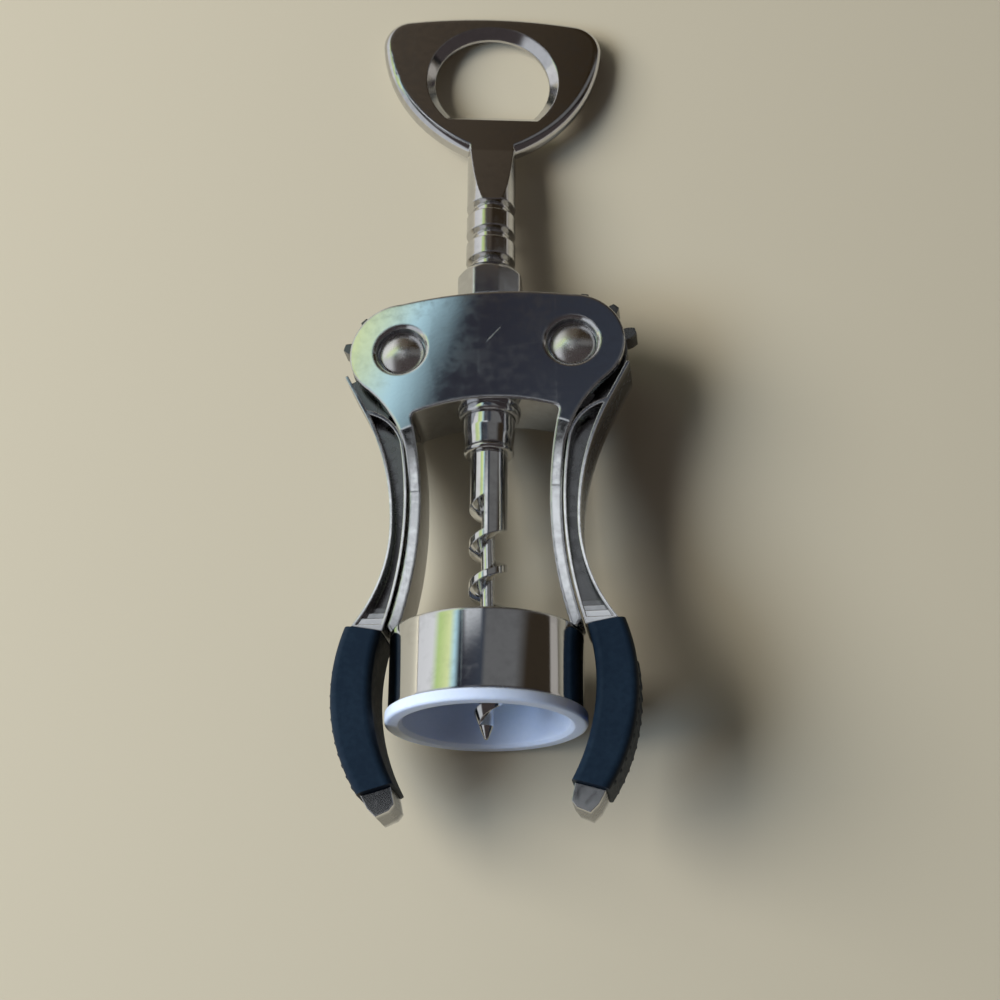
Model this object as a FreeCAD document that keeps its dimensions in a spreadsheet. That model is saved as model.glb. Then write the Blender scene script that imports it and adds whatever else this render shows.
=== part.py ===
import FreeCAD, Part
import math
import os
import Sketcher

# A wing corkscrew lying on its back: the tool's axis runs along Y with the opener handle towards +Y,
# the two levers spread along X, and the face that carries the rivet heads looks along +Z.
# The origin is the centre of the bell's mouth, where the bottle neck enters.

document = FreeCAD.newDocument("wing_corkscrew")
sheet = document.addObject("Spreadsheet::Sheet", "Sizes")

ORIGIN = FreeCAD.Vector(0, 0, 0)
ALONG_Z = FreeCAD.Vector(0, 0, 1)
ALONG_Y = FreeCAD.Vector(0, 1, 0)


class Size:
    """A length or angle that knows its number and the sheet expression it comes from."""

    def __init__(self, value, text):
        self.value = float(value)
        self.text = text

    def __add__(self, other):
        other = as_size(other)
        return Size(self.value + other.value, f"({self.text} + {other.text})")

    def __sub__(self, other):
        other = as_size(other)
        return Size(self.value - other.value, f"({self.text} - {other.text})")

    def __mul__(self, other):
        other = as_size(other)
        return Size(self.value * other.value, f"({self.text} * {other.text})")

    def __truediv__(self, other):
        other = as_size(other)
        return Size(self.value / other.value, f"({self.text} / {other.text})")

    def __neg__(self):
        return Size(-self.value, f"(-1 * {self.text})")


def as_size(number):
    """A plain factor, such as 2 or a side sign, as a Size."""
    if isinstance(number, Size):
        return number
    return Size(number, repr(float(number)))


def root(square):
    return Size(math.sqrt(square.value), f"sqrt({square.text})")


def cosine(angle):
    """Cosine of an angle in degrees."""
    return Size(math.cos(math.radians(angle.value)), f"cos({angle.text})")


def sine(angle):
    """Sine of an angle in degrees."""
    return Size(math.sin(math.radians(angle.value)), f"sin({angle.text})")


def size(name, number, row=[0]):
    """One driving dimension: a row of the sheet with its own alias."""
    row[0] += 1
    sheet.set(f"A{row[0]}", name)
    sheet.set(f"B{row[0]}", str(number))
    sheet.setAlias(f"B{row[0]}", name)
    return Size(number, f"Sizes.{name}")


ZERO = as_size(0)

# ---------------------------------------------------------------- driving dimensions, millimetres
# Bell: the ring that sits on the bottle, and its plastic insert.
neck_bore_radius = size("neck_bore_radius", 17.4)
insert_wall = size("insert_wall", 1.65)
insert_fit = size("insert_fit", 0.05)
ring_wall = size("ring_wall", 1.3)
ring_top = size("ring_top", 19.2)
ring_lip_thickness = size("ring_lip_thickness", 1.3)
flange_overhang = size("flange_overhang", 0.6)
flange_thickness = size("flange_thickness", 2.4)
flange_rounding = size("flange_rounding", 0.7)
mouth_flare = size("mouth_flare", 0.8)
seat_width = size("seat_width", 4.9)
seat_thickness = size("seat_thickness", 1.6)
seat_cover = size("seat_cover", 2.0)

# Head: two plates with the levers' pivots between them.
pivot_x = size("pivot_x", 19.25)
pivot_y = size("pivot_y", 85.2)
head_half_depth = size("head_half_depth", 8.0)
head_edge_half_depth = size("head_edge_half_depth", 6.6)
head_cheek_radius = size("head_cheek_radius", 11.75)
head_crown_rise = size("head_crown_rise", 1.55)
head_edge_rounding = size("head_edge_rounding", 0.3)
cheek_end_angle = size("cheek_end_angle", -52)
fairing_radius = size("fairing_radius", 31)
fairing_drop = size("fairing_drop", 24.2)
arch_drop = size("arch_drop", 13.4)
arch_rise = size("arch_rise", 2.8)
arch_corner_radius = size("arch_corner_radius", 1.2)
slot_half = size("slot_half", 3.05)
boss_radius = size("boss_radius", 7.6)
core_half = size("core_half", 5.2)
core_radius = size("core_radius", 12.9)

# Legs: two thin bowed ribs from the head to the ring.
leg_foot_inset = size("leg_foot_inset", 2.2)
leg_waist_inset = size("leg_waist_inset", 6.45)
leg_waist_rise = size("leg_waist_rise", 28.3)
leg_width = size("leg_width", 2.65)
leg_half_depth = size("leg_half_depth", 5.7)
leg_taper = size("leg_taper", 18.0)
foot_overlap = size("foot_overlap", 2.0)
foot_turning_flare = size("foot_turning_flare", 2.6)
foot_turning_height = size("foot_turning_height", 5.0)

# Pivots: rivets sunk in counterbores, with thin washers beside the levers.
rivet_radius = size("rivet_radius", 2.5)
rivet_head_radius = size("rivet_head_radius", 5.0)
rivet_head_rim = size("rivet_head_rim", 0.7)
rivet_dome = size("rivet_dome", 1.5)
rivet_tail_radius = size("rivet_tail_radius", 3.9)
rivet_tail_rim = size("rivet_tail_rim", 0.5)
rivet_tail_dome = size("rivet_tail_dome", 1.0)
pivot_fit = size("pivot_fit", 0.05)
counterbore_radius = size("counterbore_radius", 5.7)
counterbore_floor = size("counterbore_floor", 5.0)
counterbore_bevel = size("counterbore_bevel", 0.6)
washer_radius = size("washer_radius", 5.6)
washer_play = size("washer_play", 0.04)
tail_washer_thickness = size("tail_washer_thickness", 0.5)

# Rack and gears: a ringed shaft that both levers' toothed sectors drive.
rack_pitch = size("rack_pitch", 7.4)
tooth_angle = size("tooth_angle", 31.3)
sector_tooth_count = size("sector_tooth_count", 7)
rack_groove_count = size("rack_groove_count", 7)
rack_radius = size("rack_radius", 5.75)
rack_root_radius = size("rack_root_radius", 4.3)
rack_groove_width = size("rack_groove_width", 2.9)
sector_phase = size("sector_phase", 16.4)
sector_clearance = size("sector_clearance", 0.3)
pressure_angle = size("pressure_angle", 22)
backlash = size("backlash", 0.4)
sector_tip_radius = size("sector_tip_radius", 14.6)
sector_root_radius = size("sector_root_radius", 12.0)
sector_half_thickness = size("sector_half_thickness", 2.5)

# Levers: toothed sector, bowed channel arm, tang inside the grip and bent tip.
arm_gap = size("arm_gap", 0.35)
arm_waist_width = size("arm_waist_width", 3.55)
arm_waist_drop = size("arm_waist_drop", 4.5)
arm_upper_bow = size("arm_upper_bow", 60.2)
arm_lower_bow = size("arm_lower_bow", 37)
arm_half_depth = size("arm_half_depth", 6.4)
arm_rim = size("arm_rim", 0.6)
arm_knee_drop = size("arm_knee_drop", 14.6)
arm_inner_top_drop = size("arm_inner_top_drop", 22.7)
arm_cross_radius = size("arm_cross_radius", 11)
arm_cross_reach = size("arm_cross_reach", 7.35)
arm_cross_drop = size("arm_cross_drop", 14.1)
arm_neck_reach = size("arm_neck_reach", 3.6)
arm_neck_angle = size("arm_neck_angle", -78)
arm_neck_drop = size("arm_neck_drop", 17.3)
arm_horn_angle = size("arm_horn_angle", -24)
arm_horn_clearance = size("arm_horn_clearance", 1.35)
arm_horn_width = size("arm_horn_width", 0.7)
arm_end_gap = size("arm_end_gap", 0.2)
arm_end_slant = size("arm_end_slant", 1.3)
recess_end_rise = size("recess_end_rise", 1.6)
step_pitch = size("step_pitch", 1.5)
step_rise = size("step_rise", 1.1)
step_count = 3
tang_half = size("tang_half", 2.2)
tang_width = size("tang_width", 3.4)
tang_bow = size("tang_bow", 38)
tang_fit = size("tang_fit", 0.03)
tip_half_depth = size("tip_half_depth", 5.4)
tip_length = size("tip_length", 5.2)

# Grips: two half shells round each tang.
grip_top_gap_x = size("grip_top_gap_x", 0.6)
grip_top_width = size("grip_top_width", 7.8)
grip_bottom_tuck = size("grip_bottom_tuck", 3.1)
grip_bottom_width = size("grip_bottom_width", 7.5)
grip_bottom_inner_y = size("grip_bottom_inner_y", -12.7)
grip_bottom_outer_y = size("grip_bottom_outer_y", -14.8)
grip_inner_bow = size("grip_inner_bow", 43)
grip_outer_bow = size("grip_outer_bow", 40)
grip_half_depth = size("grip_half_depth", 7.2)
grip_top_gap = size("grip_top_gap", 0.05)
grip_rounding = size("grip_rounding", 1.7)
grip_joint = size("grip_joint", 0.04)

# Spindle: opener handle, neck, rack, stop ring and worm.
collar_across_flats = size("collar_across_flats", 14.3)
collar_height = size("collar_height", 9.1)
collar_chamfer = size("collar_chamfer", 1.6)
collar_spigot_radius = size("collar_spigot_radius", 6.7)
collar_spigot_length = size("collar_spigot_length", 3.4)
slide_fit = size("slide_fit", 0.1)
bush_radius = size("bush_radius", 6.75)
bush_length = size("bush_length", 6.0)
bush_overhang = size("bush_overhang", 1.9)
bush_edge = size("bush_edge", 0.4)
rack_end_drop = size("rack_end_drop", 22.6)
rack_end_radius = size("rack_end_radius", 5.35)
rack_end_taper = size("rack_end_taper", 4.5)
handle_half_thickness = size("handle_half_thickness", 2.5)
neck_length = size("neck_length", 42.3)
handle_height = size("handle_height", 37.4)
handle_top_rise = size("handle_top_rise", 2.8)
handle_half_width = size("handle_half_width", 26.75)
handle_corner_radius = size("handle_corner_radius", 7.5)
handle_side_radius = size("handle_side_radius", 37)
handle_edge_rounding = size("handle_edge_rounding", 2.0)
opener_radius = size("opener_radius", 16.1)
opener_rise = size("opener_rise", 20.5)
opener_bar_drop = size("opener_bar_drop", 11.8)
opener_bevel = size("opener_bevel", 2.1)
scoop_length = size("scoop_length", 18.0)
handle_turn = size("handle_turn", 9.5)
stop_ring_radius = size("stop_ring_radius", 5.6)
stop_ring_thickness = size("stop_ring_thickness", 1.4)
stud_radius = size("stud_radius", 2.4)
stud_length = size("stud_length", 9)
spin_fit = size("spin_fit", 0.06)
worm_radius = size("worm_radius", 4.15)
worm_core_radius = size("worm_core_radius", 1.5)
worm_pitch = size("worm_pitch", 9.6)
worm_groove_outer = size("worm_groove_outer", 8.5)
worm_groove_root = size("worm_groove_root", 6.4)
worm_tip = size("worm_tip", -2.6)
worm_cone_length = size("worm_cone_length", 9)
worm_groove_start = size("worm_groove_start", 5.7)
shank_length = size("shank_length", 16.1)
pin_radius = size("pin_radius", 1.0)
pin_rise = size("pin_rise", 4.9)
pin_sink = size("pin_sink", 0.35)
pin_fit = size("pin_fit", 0.02)

document.recompute()

# ---------------------------------------------------------------- sizes that follow from the others
ring_bottom = flange_thickness + insert_fit
insert_radius = neck_bore_radius + insert_wall
ring_bore = insert_radius + insert_fit
ring_radius = ring_bore + ring_wall
flange_radius = ring_radius + flange_overhang
mouth_radius = neck_bore_radius + mouth_flare
seat_radius = neck_bore_radius - seat_width
ring_lip_radius = seat_radius + seat_cover
insert_top = ring_top - ring_lip_thickness - insert_fit
pitch_radius = rack_pitch / (tooth_angle * (math.pi / 180))
rack_pitch_radius = pivot_x - pitch_radius
slot_radius = sector_tip_radius + sector_clearance
bore_radius = rack_radius + slide_fit
head_top = pivot_y + head_cheek_radius + head_crown_rise
arch_top = pivot_y - arch_drop
arch_corner = arch_top - arch_rise
fairing_foot = pivot_y - fairing_drop
leg_waist_x = ring_radius - leg_waist_inset
leg_waist_y = ring_top + leg_waist_rise
foot_run = leg_waist_inset - leg_foot_inset
leg_bow_radius = (foot_run * foot_run + leg_waist_rise * leg_waist_rise) / (foot_run * 2)
leg_outer_bow = leg_bow_radius - leg_width
arm_inner_bow = leg_outer_bow - arm_gap
bow_centre_x = leg_waist_x + leg_bow_radius
washer_thickness = slot_half - sector_half_thickness - washer_play * 2
arm_waist_x = leg_waist_x + leg_width + arm_gap + arm_waist_width
arm_waist_y = leg_waist_y - arm_waist_drop
arm_knee_y = pivot_y - arm_knee_drop
arm_inner_top_y = pivot_y - arm_inner_top_drop
arm_cross_x = pivot_x + arm_cross_reach
arm_cross_y = pivot_y - arm_cross_drop
arm_neck_x = pivot_x + arm_neck_reach
arm_neck_y = pivot_y - arm_neck_drop
arm_end_inner_y = ring_top + arm_end_gap
arm_end_outer_y = arm_end_inner_y + arm_end_slant
grip_top_inner_x = flange_radius + grip_top_gap_x
grip_top_outer_x = grip_top_inner_x + grip_top_width
grip_bottom_inner_x = flange_radius - grip_bottom_tuck
grip_bottom_outer_x = grip_bottom_inner_x + grip_bottom_width
collar_seat = head_top + insert_fit
collar_top = head_top + collar_height
bush_bottom = arch_top - bush_overhang
bush_top = bush_bottom + bush_length
rack_end = pivot_y - rack_end_drop
handle_neck_y = head_top + neck_length
handle_corner_y = handle_neck_y + handle_height
handle_top = handle_corner_y + handle_top_rise
opener_y = handle_neck_y + opener_rise
opener_bar_y = opener_y - opener_bar_drop
groove_bottom = worm_tip - worm_groove_start
groove_top = rack_end - shank_length
pin_y = rack_end + pin_rise
parts_made = []


# ---------------------------------------------------------------- drawing helpers
def new_body(label, x=ZERO, y=ZERO, turn=None):
    """A body with its own label, placed at (x, y) and turned about the tool's axis."""
    body = document.addObject("PartDesign::Body", label)
    body.Label = label
    body.Placement = FreeCAD.Placement(FreeCAD.Vector(x.value, y.value, 0), FreeCAD.Rotation(ALONG_Y, 0))
    if x is not ZERO:
        body.setExpression("Placement.Base.x", x.text)
        body.setExpression("Placement.Base.y", y.text)
    if turn is not None:
        body.Placement = FreeCAD.Placement(ORIGIN, FreeCAD.Rotation(ALONG_Y, turn.value))
        body.setExpression("Placement.Rotation.Angle", turn.text)
    parts_made.append(body)
    return body


def new_sketch(body, name, role):
    """An empty sketch on one of the body's own origin planes."""
    sketch = body.newObject("Sketcher::SketchObject", name)
    plane = [item for item in body.Origin.OriginFeatures if item.Role == role][0]
    sketch.AttachmentSupport = [(plane, "")]
    sketch.MapMode = "FlatFace"
    return sketch


def bind(sketch, kind, where, amount):
    """One dimension of a sketch, tied to its expression."""
    index = sketch.addConstraint(Sketcher.Constraint(kind, *where, amount.value))
    sketch.setExpression(f"Constraints[{index}]", amount.text)


def arc_between(start, end, radius, turn):
    """The arc shorter than a half turn from start to end; turn is +1 anticlockwise, -1 clockwise."""
    run_x = end[0].value - start[0].value
    run_y = end[1].value - start[1].value
    chord = math.hypot(run_x, run_y)
    height = math.sqrt(radius.value ** 2 - (chord / 2) ** 2) * turn
    centre_x = (start[0].value + end[0].value) / 2 - run_y / chord * height
    centre_y = (start[1].value + end[1].value) / 2 + run_x / chord * height
    first = math.atan2(start[1].value - centre_y, start[0].value - centre_x)
    last = math.atan2(end[1].value - centre_y, end[0].value - centre_x)
    if turn < 0:
        first, last = last, first
    circle = Part.Circle(FreeCAD.Vector(centre_x, centre_y, 0), ALONG_Z, radius.value)
    return Part.ArcOfCircle(circle, first, last)


def draw_loop(sketch, steps):
    """A closed loop: each step is (end point,) for a line or (end point, radius, turn) for an arc."""
    first_edge = sketch.GeometryCount
    count = len(steps)
    ends = []
    for number, step in enumerate(steps):
        start = steps[number - 1][0]
        end = step[0]
        if len(step) == 1:
            first = FreeCAD.Vector(start[0].value, start[1].value, 0)
            last = FreeCAD.Vector(end[0].value, end[1].value, 0)
            sketch.addGeometry(Part.LineSegment(first, last))
            ends.append((1, 2))
            continue
        sketch.addGeometry(arc_between(start, end, step[1], step[2]))
        ends.append((1, 2) if step[2] > 0 else (2, 1))
    for number, step in enumerate(steps):
        edge = first_edge + number
        following = first_edge + (number + 1) % count
        next_start = ends[(number + 1) % count][0]
        sketch.addConstraint(Sketcher.Constraint("Coincident", edge, ends[number][1], following, next_start))
        bind(sketch, "DistanceX", (-1, 1, edge, ends[number][1]), step[0][0])
        bind(sketch, "DistanceY", (-1, 1, edge, ends[number][1]), step[0][1])
        if len(step) == 3:
            bind(sketch, "Radius", (edge,), step[1])


def loop(body, name, role, steps):
    """A sketch holding one closed loop."""
    sketch = new_sketch(body, name, role)
    draw_loop(sketch, steps)
    return sketch


def circles(body, name, role, rounds):
    """A sketch of circles, each (x, y, radius)."""
    sketch = new_sketch(body, name, role)
    for number, (x, y, radius) in enumerate(rounds):
        centre = FreeCAD.Vector(x.value, y.value, 0)
        sketch.addGeometry(Part.Circle(centre, ALONG_Z, radius.value))
        bind(sketch, "DistanceX", (-1, 1, number, 3), x)
        bind(sketch, "DistanceY", (-1, 1, number, 3), y)
        bind(sketch, "Radius", (number,), radius)
    return sketch


def finish_step(body, feature, name, grows):
    """Recompute and make sure that the step added or removed material."""
    body.Tip = feature
    document.recompute()
    before = feature.BaseFeature.Shape.Volume if feature.BaseFeature else 0
    if "Invalid" in feature.State or feature.Shape.isNull():
        raise RuntimeError(f"{body.Label} {name} failed: {feature.State}")
    after = feature.Shape.Volume
    if grows and after <= before or not grows and after >= before:
        raise RuntimeError(f"{body.Label} {name} changed nothing: {before} {after}")
    return feature


def extrude(body, kind, sketch, length, midplane=True, reverse=False):
    """Pad or pocket a sketch by a bound length."""
    feature = body.newObject(f"PartDesign::{kind}", sketch.Name.replace("Sketch", "") + kind)
    feature.Profile = sketch
    feature.Midplane = midplane
    feature.Reversed = reverse
    feature.setExpression("Length", length.text)
    return finish_step(body, feature, feature.Name, kind == "Pad")


def turn_round(body, kind, sketch):
    """Revolve or groove a sketch a full turn about its own vertical axis."""
    feature = body.newObject(f"PartDesign::{kind}", sketch.Name.replace("Sketch", "") + kind)
    feature.Profile = sketch
    feature.ReferenceAxis = (sketch, ["V_Axis"])
    feature.Angle = 360
    return finish_step(body, feature, feature.Name, kind == "Revolution")


def edges_where(body, test):
    """Names of the tip's edges whose middle point and edge pass a test."""
    names = []
    for number, edge in enumerate(body.Tip.Shape.Edges, 1):
        middle = edge.valueAt((edge.FirstParameter + edge.LastParameter) / 2)
        if test(middle, edge):
            names.append(f"Edge{number}")
    return names


def dress(body, kind, name, edges, amount, grows=False):
    """Fillet or chamfer named edges of the tip by a bound amount; a fillet in a corner adds material."""
    last = body.Tip
    feature = body.newObject(f"PartDesign::{kind}", name)
    feature.Base = (last, edges)
    feature.setExpression("Radius" if kind == "Fillet" else "Size", amount.text)
    return finish_step(body, feature, name, grows)


def bow_x(centre, radius, y):
    """Where a bow of this radius about (centre, leg waist) is at height y, on the inner side."""
    rise = y - leg_waist_y
    return centre - root(radius * radius - rise * rise)


def about_pivot(point, side):
    """A point of the right-hand half, as seen from the pivot of the lever on this side."""
    return ((point[0] - pivot_x) * side, point[1] - pivot_y)


def polar(radius, angle, side):
    """A point at this distance and angle from a pivot, mirrored for the left side."""
    return (radius * cosine(angle) * side, radius * sine(angle))


# ---------------------------------------------------------------- frame casting
def make_frame():
    """Crowned head, bowed legs and bell ring, cast in one piece."""
    body = new_body("frame_casting")
    cheek_end = (pivot_x + head_cheek_radius * cosine(cheek_end_angle),
                 pivot_y + head_cheek_radius * sine(cheek_end_angle))
    top_radius = (pivot_x * pivot_x + head_crown_rise * head_crown_rise) / (head_crown_rise * 2)
    inner_bow_end = ring_top - ring_lip_thickness / 2
    inner_corner_x = bow_x(bow_centre_x, leg_bow_radius, arch_corner)
    window_radius = (inner_corner_x * inner_corner_x + arch_rise * arch_rise) / (arch_rise * 2)
    foot = ring_top - foot_overlap
    foot_outer_x = bow_x(bow_centre_x, leg_outer_bow, foot)
    foot_inner_x = ring_bore + ring_wall / 3
    foot_radius = ring_radius - ring_wall / 6
    right = [
        ((ZERO, head_top),),
        ((pivot_x, pivot_y + head_cheek_radius), top_radius, -1),
        (cheek_end, head_cheek_radius, -1),
        ((bow_x(bow_centre_x, leg_outer_bow, fairing_foot), fairing_foot), fairing_radius, 1),
        ((foot_outer_x, foot), leg_outer_bow, 1),
        ((foot_inner_x, foot),),
        ((foot_inner_x, inner_bow_end),),
        ((bow_x(bow_centre_x, leg_bow_radius, inner_bow_end), inner_bow_end),),
        ((inner_corner_x, arch_corner), leg_bow_radius, -1),
        ((ZERO, arch_top), window_radius, 1),
    ]
    left = []
    for number in range(len(right) - 1, 0, -1):
        point = right[number - 1][0]
        left.append(((-point[0], point[1]),) + tuple(right[number][1:]))
    left[-1] = ((ZERO, head_top),) + left[-1][1:]
    blank = loop(body, "HeadAndLegsSketch", "XY_Plane", right[1:] + left)
    extrude(body, "Pad", blank, head_half_depth * 2)

    def on_window_corner(middle, edge):
        return abs(abs(middle.x) - inner_corner_x.value) < 0.01 and abs(middle.y - arch_corner.value) < 0.01
    dress(body, "Fillet", "WindowCorners", edges_where(body, on_window_corner), arch_corner_radius, True)

    # The front and back are crowned about the tool's axis, thinner towards the cheeks.
    reach = pivot_x + head_cheek_radius
    edge_drop = head_half_depth - head_edge_half_depth
    crown_radius = (reach * reach + edge_drop * edge_drop) / (edge_drop * 2)
    over = head_half_depth + 2
    crown = new_sketch(body, "CrownSketch", "XZ_Plane")
    for face in (1, -1):
        draw_loop(crown, [
            ((reach, head_edge_half_depth * face), crown_radius, -face),
            ((reach, over * face),),
            ((-reach, over * face),),
            ((-reach, head_edge_half_depth * face),),
        ])
    extrude(body, "Pocket", crown, head_top * 4)

    # The legs are shallower than the head, so both faces slope down to them.
    taper = new_sketch(body, "LegTaperSketch", "YZ_Plane")
    for face in (1, -1):
        draw_loop(taper, [
            ((arch_corner, over * face),),
            ((arch_corner, head_half_depth * face),),
            ((arch_corner - leg_taper, leg_half_depth * face),),
            ((foot - 1, leg_half_depth * face),),
            ((foot - 1, over * face),),
        ])
    extrude(body, "Pocket", taper, reach * 3)

    # The legs' feet are turned down to the bell ring.
    foot_flare = ring_radius + foot_turning_flare
    feet = loop(body, "FeetSketch", "XY_Plane", [
        ((foot_radius, foot - 1),),
        ((foot_radius, ring_top),),
        ((foot_flare, ring_top + foot_turning_height),),
        ((foot_flare * 2, ring_top + foot_turning_height),),
        ((foot_flare * 2, foot - 1),),
    ])
    turn_round(body, "Groove", feet)

    # Every edge of the front and back outlines is rounded.
    def on_face_outline(middle, edge):
        return abs(middle.z) > leg_half_depth.value - 0.1 and middle.y > ring_top.value + 6
    dress(body, "Fillet", "EdgeRounding", edges_where(body, on_face_outline), head_edge_rounding)

    # Bell ring, turned about the tool's axis.
    ring = loop(body, "RingSketch", "XY_Plane", [
        ((ring_radius, ring_bottom),),
        ((ring_radius, ring_top - head_edge_rounding),),
        ((ring_radius - head_edge_rounding, ring_top), head_edge_rounding, 1),
        ((ring_lip_radius, ring_top),),
        ((ring_lip_radius, ring_top - ring_lip_thickness),),
        ((ring_bore, ring_top - ring_lip_thickness),),
        ((ring_bore, ring_bottom),),
    ])
    turn_round(body, "Revolution", ring)

    # Slot for the two toothed sectors, open to the sides, the top and the window.
    slot = circles(body, "SlotSketch", "XY_Plane", [(pivot_x, pivot_y, slot_radius), ])
    extrude(body, "Pocket", slot, slot_half * 2)
    slot = circles(body, "LeftSlotSketch", "XY_Plane", [(-pivot_x, pivot_y, slot_radius), ])
    extrude(body, "Pocket", slot, slot_half * 2)

    # Cored space round each pivot boss, so that the plates stay thin.
    core = circles(body, "CoreSketch", "XY_Plane", [
        (pivot_x, pivot_y, core_radius), (pivot_x, pivot_y, boss_radius),
        (-pivot_x, pivot_y, core_radius), (-pivot_x, pivot_y, boss_radius)])
    extrude(body, "Pocket", core, core_half * 2)

    # Tunnel for the rack, with seats for the collar above and the guide bush below.
    tunnel = loop(body, "TunnelSketch", "XY_Plane", [
        ((ZERO, bush_bottom),),
        ((bush_radius + insert_fit, bush_bottom),),
        ((bush_radius + insert_fit, bush_top + insert_fit),),
        ((bore_radius, bush_top + insert_fit),),
        ((bore_radius, collar_seat - collar_spigot_length - insert_fit),),
        ((collar_spigot_radius + insert_fit, collar_seat - collar_spigot_length - insert_fit),),
        ((collar_spigot_radius + insert_fit, head_top + 1),),
        ((ZERO, head_top + 1),),
    ])
    turn_round(body, "Groove", tunnel)

    # Rivet holes and their counterbores, front and back.
    holes = circles(body, "RivetHolesSketch", "XY_Plane", [
        (pivot_x, pivot_y, rivet_radius + pivot_fit), (-pivot_x, pivot_y, rivet_radius + pivot_fit)])
    extrude(body, "Pocket", holes, head_half_depth * 3)
    for face, name in ((1, "Front"), (-1, "Back")):
        for side, hand in ((1, "Right"), (-1, "Left")):
            bore = circles(body, f"{name}{hand}CounterboreSketch", "XY_Plane",
                           [(pivot_x * side, pivot_y, counterbore_radius)])
            bore.AttachmentOffset = FreeCAD.Placement(
                FreeCAD.Vector(0, 0, face * counterbore_floor.value), FreeCAD.Rotation())
            bore.setExpression("AttachmentOffset.Base.z", (counterbore_floor * face).text)
            extrude(body, "Pocket", bore, head_half_depth, False, face > 0)

    def on_counterbore_rim(middle, edge):
        across = math.hypot(abs(middle.x) - pivot_x.value, middle.y - pivot_y.value)
        return abs(across - counterbore_radius.value) < 0.05 and abs(middle.z) > counterbore_floor.value + 0.5 \
            and edge.Length > 8
    dress(body, "Chamfer", "CounterboreBevel", edges_where(body, on_counterbore_rim), counterbore_bevel)
    return body


# ---------------------------------------------------------------- fittings of the frame
def make_collar():
    """Octagonal collar on top of the head, with a spigot let into it, that guides the rack."""
    body = new_body("top_collar")
    flat = collar_across_flats / 2
    corner = flat * (math.sqrt(2) - 1)
    octagon = loop(body, "OctagonSketch", "XZ_Plane", [
        ((flat, corner),), ((corner, flat),), ((-corner, flat),), ((-flat, corner),),
        ((-flat, -corner),), ((-corner, -flat),), ((corner, -flat),), ((flat, -corner),)])
    octagon.AttachmentOffset = FreeCAD.Placement(FreeCAD.Vector(0, 0, -collar_seat.value), FreeCAD.Rotation())
    octagon.setExpression("AttachmentOffset.Base.z", (-collar_seat).text)
    extrude(body, "Pad", octagon, collar_top - collar_seat, False, True)
    spigot_end = collar_seat - collar_spigot_length
    spigot = loop(body, "SpigotSketch", "XY_Plane", [
        ((ZERO, collar_seat + 1),), ((collar_spigot_radius, collar_seat + 1),),
        ((collar_spigot_radius, spigot_end),), ((ZERO, spigot_end),)])
    turn_round(body, "Revolution", spigot)
    bevel = loop(body, "BevelSketch", "XY_Plane", [
        ((flat * 1.09, collar_top - collar_chamfer * 1.3),), ((flat * 1.3, collar_top - collar_chamfer * 1.3),),
        ((flat * 1.3, collar_top + 1),), ((flat - collar_chamfer * 0.6, collar_top + 1),),
        ((flat - collar_chamfer * 0.6, collar_top),)])
    turn_round(body, "Groove", bevel)
    bore = loop(body, "BoreSketch", "XY_Plane", [
        ((ZERO, spigot_end - 1),), ((bore_radius, spigot_end - 1),),
        ((bore_radius, collar_top + 1),), ((ZERO, collar_top + 1),)])
    turn_round(body, "Groove", bore)


def make_bush():
    """Short bush that stands out of the underside of the head, the rack's lower guide."""
    body = new_body("guide_bush")
    section = loop(body, "SectionSketch", "XY_Plane", [
        ((bore_radius, bush_bottom),),
        ((bush_radius - bush_edge, bush_bottom),),
        ((bush_radius, bush_bottom + bush_edge),),
        ((bush_radius, bush_top),),
        ((bore_radius, bush_top),)])
    turn_round(body, "Revolution", section)


def make_insert():
    """Moulded insert of the bell: flange, flared mouth, neck bore and the lip that stops the bottle."""
    body = new_body("bell_insert")
    section = loop(body, "SectionSketch", "XY_Plane", [
        ((mouth_radius, ZERO),),
        ((flange_radius - flange_rounding, ZERO),),
        ((flange_radius, flange_rounding), flange_rounding, 1),
        ((flange_radius, flange_thickness - flange_rounding / 3),),
        ((flange_radius - flange_rounding / 3, flange_thickness), flange_rounding / 3, 1),
        ((insert_radius, flange_thickness),),
        ((insert_radius, insert_top),),
        ((seat_radius, insert_top),),
        ((seat_radius, insert_top - seat_thickness),),
        ((neck_bore_radius, insert_top - seat_thickness),),
        ((neck_bore_radius, mouth_flare),),
    ])
    turn_round(body, "Revolution", section)


def make_rivet(label, side):
    """Rivet through a lever's hub: domed head in the front recess, set tail in the back one."""
    body = new_body(label, pivot_x * side, pivot_y)
    head_start = counterbore_floor
    head_edge = head_start + rivet_head_rim
    crown = head_edge + rivet_dome
    head_curve = (rivet_head_radius * rivet_head_radius + rivet_dome * rivet_dome) / (rivet_dome * 2)
    tail_edge = -head_start - rivet_tail_rim
    tail_crown = tail_edge - rivet_tail_dome
    tail_curve = (rivet_tail_radius * rivet_tail_radius + rivet_tail_dome * rivet_tail_dome) / (rivet_tail_dome * 2)
    section = loop(body, "SectionSketch", "XZ_Plane", [
        ((ZERO, crown),),
        ((ZERO, tail_crown),),
        ((rivet_tail_radius, tail_edge), tail_curve, 1),
        ((rivet_tail_radius, -head_start),),
        ((rivet_radius, -head_start),),
        ((rivet_radius, head_start),),
        ((rivet_head_radius, head_start),),
        ((rivet_head_radius, head_edge),),
        ((ZERO, crown), head_curve, 1),
    ][1:])
    turn_round(body, "Revolution", section)


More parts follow.
